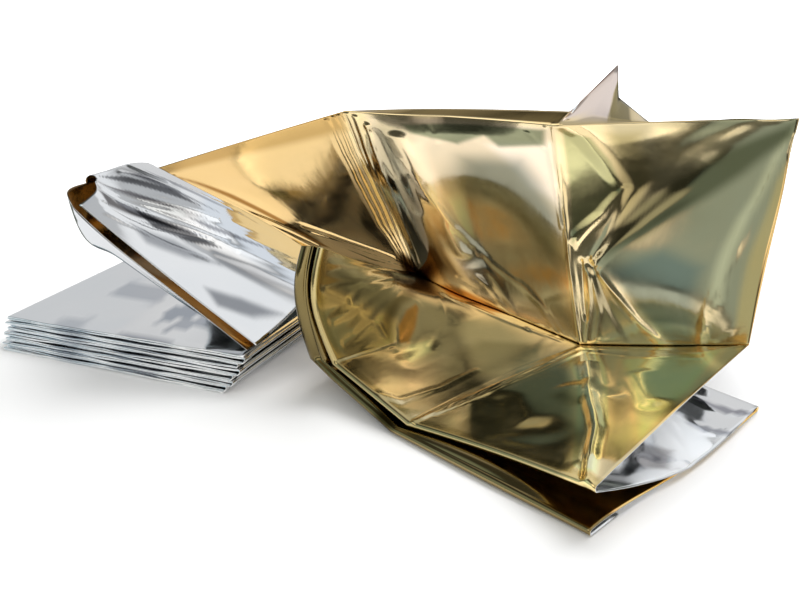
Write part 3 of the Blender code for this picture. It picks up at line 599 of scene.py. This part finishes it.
def stack_line(layer, along):
    """A line across one layer of the stack, from its far edge to its rolled near edge."""
    level, left_out, right_out, near_out, roll = LAYERS[layer]
    left_near, right_near, right_far, left_far = (
        np.array(low) + (np.array(high) - np.array(low)) * level
        for low, high in zip(STACK[0][1:], STACK[1][1:])
    )
    length = (right_near - left_near) / np.linalg.norm(right_near - left_near)
    width = (left_near - left_far) / np.linalg.norm(left_near - left_far)
    shift = length * (right_out * along - left_out * (1 - along))
    out = near_out + wave(WAVER, along, layer)
    dip = max(wave(DIP, along, layer), -MOST_DIP * level)
    near = left_near + (right_near - left_near) * along + shift
    near = near + width * out + np.array((0, 0, dip))
    far = left_far + (right_far - left_far) * along + shift
    shares = np.linspace(0, 1, STACK_STRIPS + 1)[:, None]
    flat = far + (near - far) * shares
    radius = ROLL_RADIUS * roll
    rolled = [
        near + width * radius * math.sin(a) + np.array((0, 0, radius)) * (math.cos(a) - 1)
        for a in np.linspace(0, math.pi, ROLL_STEPS + 1)[1:]
    ]
    rolled.append(rolled[-1] - width * ROLL_BACK)
    line = np.vstack([flat, rolled])
    across = np.linspace(*STACK_ACROSS, len(line))
    return np.column_stack([line, np.full(len(line), -along), across])


def stack_rows():
    """The rows of the stack, back and forth from its highest layer's right end to the lowest."""
    rows = []
    ends = (1, 0)
    for layer in reversed(range(len(LAYERS))):
        lines = [stack_line(layer, t) for t in np.linspace(*ends, STACK_SPANS + 1)]
        rows.extend(lines)
        if layer:
            rows.extend(turn(lines[-1], stack_line(layer - 1, ends[1]), lines[-2]))
        ends = ends[::-1]
    return rows


def build_sheet():
    """The whole sheet, as the open surface halfway through its thickness."""
    lower = lines_of(LOWER)
    wall = lines_of(WALL)
    back = lines_of(BACK)
    strip = lines_of(STRIP, FIRST_STRIP_COLUMN)
    back[0] = peaked(back[0])
    low_width, back_width = len(lower[0]), len(back[0])

    sheet = Sheet()
    kinds = [line[1] for line in WALL]
    wall_rows = sheet.add("canopy", grow(wall, kinds, [line[3] for line in WALL]))
    valley, ridge = wall_rows[0], wall_rows[-1]
    kinds = [line[1] for line in LOWER] + ["sharp"]
    rows = grow(lower + [wall[0][:low_width]], kinds, [line[3] for line in LOWER])
    sheet.add("scoop", rows[-2::-1], valley[:low_width], turned=True)
    kinds = ["sharp"] + [line[1] for line in BACK]
    rows = grow([wall[-1][:back_width]] + back, kinds, [SHELF_ROWS] + [line[3] for line in BACK])
    sheet.add("canopy", rows[1:], ridge[:back_width])

    beside = strips_up_to(FIRST_STRIP_COLUMN)
    closed = strips_up_to(MOUTH_COLUMN) + 1 - beside
    fold = turn(wall[-1][beside:], strip[0], (wall[-3][beside:] + strip[1]) / 2)
    fold_rows = sheet.add("canopy", [row[:closed] for row in fold], ridge[beside:])
    kinds = [line[1] for line in STRIP]
    strip_rows = sheet.add("canopy", grow(strip, kinds, [line[3] for line in STRIP]))
    sheet.join("canopy", fold_rows[-1], strip_rows[0])

    sheet.add("stack", stack_rows(), turned=True)
    return sheet


def creased(table, faces):
    """The sheet's points with every crease of the table pressed into them."""
    points, places = table[:, :3], table[:, 3:]
    corners = [points[faces[:, k]] for k in range(4)]
    facing = np.cross(corners[2] - corners[0], corners[3] - corners[1])
    normals = np.zeros_like(points)
    for k in range(4):
        np.add.at(normals, faces[:, k], facing)
    normals /= np.maximum(np.linalg.norm(normals, axis=1), TINY)[:, None]
    along, across = places[:, 0] * PANEL_LONG, places[:, 1] * PANEL_WIDE
    slow, quick = WANDER_ALONG
    sway_along = np.sin(across * slow + 1) + np.sin(across * quick + along)
    slow, quick = WANDER_ACROSS
    sway_across = np.sin(along * slow) + np.sin(along * quick + across + 2)
    here = np.column_stack([along + WANDER * sway_along, across + WANDER * sway_across])
    raised = np.zeros(len(here))
    for _, profile, wide, out, route in CREASES:
        raised += out * standing(here, profile, wide, np.array(route) * (PANEL_LONG, PANEL_WIDE))
    return points - normals * raised[:, None]


def standing(here, profile, wide, route):
    """How far, from 0 to 1, one crease stands out at each place."""
    out = np.zeros(len(here))
    reach = max(wide)
    near = np.all((here > route.min(0) - reach) & (here < route.max(0) + reach), axis=1)
    spots = here[near]
    best = np.full(len(spots), np.inf)
    lengths = np.linalg.norm(np.diff(route, axis=0), axis=1)
    gone = 0.0
    for start, stop, length in zip(route[:-1], route[1:], lengths):
        run = stop - start
        t = np.clip((spots - start) @ run / length**2, 0, 1)
        off = spots - start - t[:, None] * run
        distance = np.linalg.norm(off, axis=1)
        width = wide[0] + (wide[1] - wide[0]) * (gone + t * length) / lengths.sum()
        share = distance / width
        if profile == "lap":
            side = off[:, 0] * run[1] - off[:, 1] * run[0]
            share = np.where(side > 0, share * LAP_STEEPNESS, share)
        best = np.minimum(best, share)
        gone += length
    best = np.minimum(best, 1)
    out[near] = (1 + np.cos(math.pi * best)) / 2 if profile == "soft" else 1 - best
    return out


def painted_light_colour(places, painted_patches):
    """The painted reflections, shade and highlights: the colour that each place of one side of the film is
    multiplied by.
    """
    here = places * (PANEL_LONG, PANEL_WIDE)
    painted_light = np.ones((len(here), 3))
    for colour, soft, outline in painted_patches:
        corners = np.array(outline) * (PANEL_LONG, PANEL_WIDE)
        inside = np.zeros(len(here), bool)
        distance = np.full(len(here), np.inf)
        for start, stop in zip(corners, np.roll(corners, -1, axis=0)):
            run = stop - start
            t = np.clip((here - start) @ run / (run @ run), 0, 1)
            off = np.linalg.norm(here - start - t[:, None] * run, axis=1)
            distance = np.minimum(distance, off)
            spans = (start[1] > here[:, 1]) != (stop[1] > here[:, 1])
            rise = np.where(spans, stop[1] - start[1], 1)
            cut = start[0] + run[0] * (here[:, 1] - start[1]) / rise
            inside ^= spans & (here[:, 0] < cut)
        share = np.clip(0.5 + np.where(inside, distance, -distance) / (2 * soft), 0, 1)
        share = share * share * (3 - 2 * share)
        painted_light *= 1 + (np.array(colour) - 1) * share[:, None]
    return painted_light


# Materials

# Each side of the film: its painted reflections, shade and highlights, its colour, the colour that it
# drifts to, its least and most roughness, and how high its ripples stand in metres.
SIDES = {
    "gold": (GOLD_PAINTED_LIGHT, (0.94, 0.76, 0.44), (0.92, 0.73, 0.40), (0.10, 0.19), 0.00011),
    "silver": (SILVER_PAINTED_LIGHT, (0.90, 0.91, 0.92), (0.86, 0.88, 0.90), (0.06, 0.14), 0.00012),
}

# The film's noises, each with its scale (to a metre of the sheet) and detail, and the values of
# the first two between which colour and roughness change. The ripples' scale is their stretch, and
# their turn is in radians.
DRIFT = (22, 2)
HAZE = (90, 4)
NOISE_SPAN = (0.35, 0.7)
RIPPLE = (1, 6)
RIPPLE_STRETCH = (75, 24, 1)
RIPPLE_TURN = (0, 0, 0.5)


def feed(tree, node, inputs):
    """Gives each input of a node its value, or links it to another node's output."""
    for key, source in inputs.items():
        if isinstance(source, bpy.types.NodeSocket):
            tree.links.new(source, node.inputs[key])
        else:
            node.inputs[key].default_value = source


def new_node(tree, kind, inputs, **settings):
    node = tree.nodes.new("ShaderNode" + kind)
    for name, value in settings.items():
        setattr(node, name, value)
    feed(tree, node, inputs)
    return node


def noise(tree, vector, scale, detail):
    node = new_node(tree, "TexNoise", {"Vector": vector, "Scale": scale, "Detail": detail})
    return node.outputs["Fac"]


def new_material(name):
    """A material with its tree and its shader."""
    material = bpy.data.materials.new(name)
    material.use_nodes = True
    return material, material.node_tree, material.node_tree.nodes["Principled BSDF"]


def film_material(side, colour, tinge, roughness, ripple_height):
    """Metallised film: fine ripples, hazier patches, a slight drift of its colour, and painted reflections,
    shade and highlights multiplied into that colour.
    """
    material, tree, shader = new_material(side + "_side")
    places = new_node(tree, "TexCoord", {}).outputs["UV"]

    tint = new_node(tree, "ValToRGB", {"Fac": noise(tree, places, *DRIFT)})
    for stop, position, shade in zip(tint.color_ramp.elements, NOISE_SPAN, (colour, tinge)):
        stop.position = position
        stop.color = (*shade, 1)
    # The painted reflections, shade and highlights of this side, multiplied into its colour.
    painted_light = new_node(tree, "VertexColor", {}, layer_name=side + "_painted_light_layer")
    colours = {"Factor": 1, "A": tint.outputs["Color"], "B": painted_light.outputs["Color"]}
    mixed = new_node(tree, "Mix", colours, data_type="RGBA", blend_type="MULTIPLY")

    rough = new_node(tree, "MapRange", {
        "Value": noise(tree, places, *HAZE),
        "From Min": NOISE_SPAN[0],
        "From Max": NOISE_SPAN[1],
        "To Min": roughness[0],
        "To Max": roughness[1],
    })

    stretch = {"Vector": places, "Scale": RIPPLE_STRETCH, "Rotation": RIPPLE_TURN}
    stretched = new_node(tree, "Mapping", stretch).outputs["Vector"]
    height = noise(tree, stretched, *RIPPLE)
    bump = new_node(tree, "Bump", {"Strength": 1, "Distance": ripple_height, "Height": height})
    feed(tree, shader, {
        "Metallic": 1,
        "Base Color": mixed.outputs["Result"],
        "Roughness": rough.outputs["Result"],
        "Normal": bump.outputs["Normal"],
    })
    return material


def placed(name, data):
    """A new object in the scene."""
    obj = bpy.data.objects.new(name, data)
    bpy.context.scene.collection.objects.link(obj)
    return obj


def build_blanket():
    """The pieces of the one sheet: each is film with its silver and its gold side."""
    sheet = build_sheet()
    table = np.array(sheet.points)
    faces = np.array(sum(sheet.faces.values(), []))
    points = creased(table, faces)
    points[:, :2] += np.array(TABLE_SHIFT[:2])
    points[:, 2] = np.maximum(points[:, 2], FILM / 2)
    places = np.column_stack([table[:, 4] * PANEL_WIDE, table[:, 3] * PANEL_LONG]) * CM
    films = {side: film_material(side, *looks) for side, (_, *looks) in SIDES.items()}
    pieces = {}
    for name, quads in sheet.faces.items():
        used, numbers = np.unique(np.array(quads), return_inverse=True)
        quads = numbers.reshape(-1, 4)
        mesh = bpy.data.meshes.new("film_" + name)
        mesh.from_pydata((points[used] * CM).tolist(), [], quads.tolist())
        mesh.materials.append(films["silver"])
        # A layer of the stack is two plies with the gold inside, so both its sides are silver.
        mesh.materials.append(films["silver" if name == "stack" else "gold"])
        mesh.shade_smooth()
        uv = mesh.uv_layers.new(name="sheet")
        uv.data.foreach_set("uv", places[used][quads.ravel()].ravel())
        # Each side's painted reflections, shade and highlights, as a colour layer on the points.
        for side, (painted_patches, *_) in SIDES.items():
            painted_light = mesh.color_attributes.new(side + "_painted_light_layer", "FLOAT_COLOR", "POINT")
            colours = np.column_stack([painted_light_colour(table[used, 3:], painted_patches), np.ones(len(used))])
            painted_light.data.foreach_set("color", colours.ravel())
        piece = placed("film_" + name, mesh)
        film = piece.modifiers.new("film", "SOLIDIFY")
        film.thickness = FILM * CM
        film.offset = 0
        film.material_offset = 1
        pieces[name] = piece
    return pieces


# The studio

# The camera: its place in centimetres, its turn down in degrees, and its lens and sensor in
# millimetres. It sees from CLIP_START on, in metres.
CAMERA = {"at": (2.0, -48.0, 21.7), "pitch_down": 20.6, "lens": 50.0, "sensor": 36.0}
CLIP_START = 0.01

# The light: its place, the point it faces and its size in metres, and its power in watts.
KEY = {"at": (0.5, 0.8, 1.1), "facing": (0, 0, 0.05), "size": (1.2, 1.2), "power": 22}


def to_frame(point):
    """A point of the tables in the frame's metres."""
    return (np.array(point) + np.array(TABLE_SHIFT)) * CM


def matt_material(name, colour):
    material, tree, shader = new_material(name)
    feed(tree, shader, {"Base Color": (*colour, 1), "Roughness": MATT})
    return material


def softbox(name, at, facing, size, power):
    lamp = bpy.data.lights.new(name, "AREA")
    lamp.shape = "RECTANGLE"
    lamp.size, lamp.size_y = size
    lamp.energy = power
    obj = placed(name, lamp)
    obj.location = at
    obj.rotation_mode = "QUATERNION"
    obj.rotation_quaternion = (Vector(facing) - Vector(at)).to_track_quat("-Z", "Y")
    return obj


# The room: soft patches of its walls and ceiling, each with its direction in degrees (turn from
# the camera's side to the right, height), its half width in degrees and its colour.
ROOM = (
    ("right_window", 50, 24, 44, (1.25, 1.22, 1.18)),
    ("low_front", 20, 10, 46, (1.15, 1.12, 1.08)),
    ("left_high", -52, 46, 30, (1.4, 1.37, 1.3)),
    ("front_high", -11, 32, 16, (0.95, 0.94, 0.9)),
    ("right_wall", 108, 12, 30, (0.40, 0.40, 0.39)),
    ("right_back", 132, 50, 44, (0.85, 0.86, 0.87)),
    ("back_wall", 176, 28, 34, (0.70, 0.70, 0.70)),
    ("back_left", -160, 18, 34, (0.62, 0.63, 0.64)),
    ("left_wall", -90, 18, 42, (0.44, 0.56, 0.60)),
    ("above_camera", 5, 66, 30, (0.45, 0.45, 0.45)),
    ("overhead", 60, 80, 40, (0.50, 0.51, 0.52)),
)
ROOM_DARK = (0.085, 0.09, 0.08)

# The share of a patch's half width over which it is at its full colour.
PATCH_CORE = 0.4

# The floor's paper and the dark card over it, in metres, and the roughness of both. The paper's
# glow grows with the distance from the frame's middle.
FLOOR_HALF = 4.0
CARD_HEIGHT = 0.0002
PAPER = (0.93, 0.93, 0.93)
CARD = (0.16, 0.17, 0.15)
MATT = 0.9
GLOW = {"From Min": 0.18, "From Max": 0.8, "To Min": 0.03, "To Max": 0.8}

# The pale part of the table that the film mirrors: left, right, front and back, in centimetres.
PALE_TABLE = (-45.0, 40.0, -160.0, 6.0)


def vector_math(tree, operation, *vectors):
    return new_node(tree, "VectorMath", dict(enumerate(vectors)), operation=operation)


def build_world():
    """A room that is dark in front of the object, with pale windows and walls around it."""
    world = bpy.data.worlds.new("studio")
    bpy.context.scene.world = world
    world.use_nodes = True
    tree = world.node_tree
    direction = new_node(tree, "TexCoord", {}).outputs["Generated"]
    brightest = ROOM_DARK
    for _, azimuth, height, half_width, colour in ROOM:
        azimuth, height = math.radians(azimuth), math.radians(height)
        facing = (
            math.sin(azimuth) * math.cos(height),
            -math.cos(azimuth) * math.cos(height),
            math.sin(height),
        )
        nearness = vector_math(tree, "DOT_PRODUCT", direction, facing)
        share = new_node(tree, "MapRange", {
            "Value": nearness.outputs["Value"],
            "From Min": math.cos(math.radians(half_width)),
            "From Max": math.cos(math.radians(half_width * PATCH_CORE)),
        }, interpolation_type="SMOOTHSTEP")
        patch = vector_math(tree, "MULTIPLY", share.outputs["Result"], colour)
        brighter = vector_math(tree, "MAXIMUM", patch.outputs["Vector"], brightest)
        brightest = brighter.outputs["Vector"]
    feed(tree, tree.nodes["Background"], {"Color": brightest})


def flat_piece(name, corners, faces, height, material):
    mesh = bpy.data.meshes.new(name)
    mesh.from_pydata([(x, y, height) for x, y in corners], [], faces)
    mesh.materials.append(material)
    piece = placed(name, mesh)
    return piece


def square(half):
    return [(-half, -half), (half, -half), (half, half), (-half, half)]


def floor_paper():
    """Pale paper that glows a little far from the object, as lit from behind."""
    paper = matt_material("floor_paper", PAPER)
    tree = paper.node_tree
    place = new_node(tree, "TexCoord", {}).outputs["Object"]
    reach = vector_math(tree, "LENGTH", place).outputs["Value"]
    glow = new_node(tree, "MapRange", {"Value": reach, **GLOW}, interpolation_type="SMOOTHSTEP")
    shine = {"Emission Color": (1, 1, 1, 1), "Emission Strength": glow.outputs["Result"]}
    feed(tree, tree.nodes["Principled BSDF"], shine)
    return paper


def build_studio():
    floor = square(FLOOR_HALF)
    flat_piece("studio_floor", floor, [(0, 1, 2, 3)], 0, floor_paper())
    left, right, front, back = PALE_TABLE
    hole = [to_frame((x, y, 0))[:2] for x, y in
            ((left, front), (right, front), (right, back), (left, back))]
    faces = [(i, (i + 1) % 4, (i + 1) % 4 + 4, i + 4) for i in range(4)]
    card = flat_piece("dark_card", floor + hole, faces, CARD_HEIGHT, matt_material("card", CARD))
    # The card is there only to be mirrored in the film.
    card.visible_camera = card.visible_diffuse = False
    card.visible_shadow = card.visible_transmission = False
    build_world()
    key = softbox("key_softbox", **KEY)
    key.visible_glossy = False


def build_camera():
    lens = bpy.data.cameras.new("camera")
    lens.lens = CAMERA["lens"]
    lens.sensor_width = CAMERA["sensor"]
    lens.clip_start = CLIP_START
    obj = placed("camera", lens)
    obj.location = to_frame(CAMERA["at"])
    obj.rotation_euler = (math.radians(90 - CAMERA["pitch_down"]), 0, 0)
    bpy.context.scene.camera = obj


for name, piece in build_blanket().items():
    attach(piece, "root")
    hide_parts("foil_blanket")
build_studio()
build_camera()
bpy.context.scene.view_settings.view_transform = "Standard"
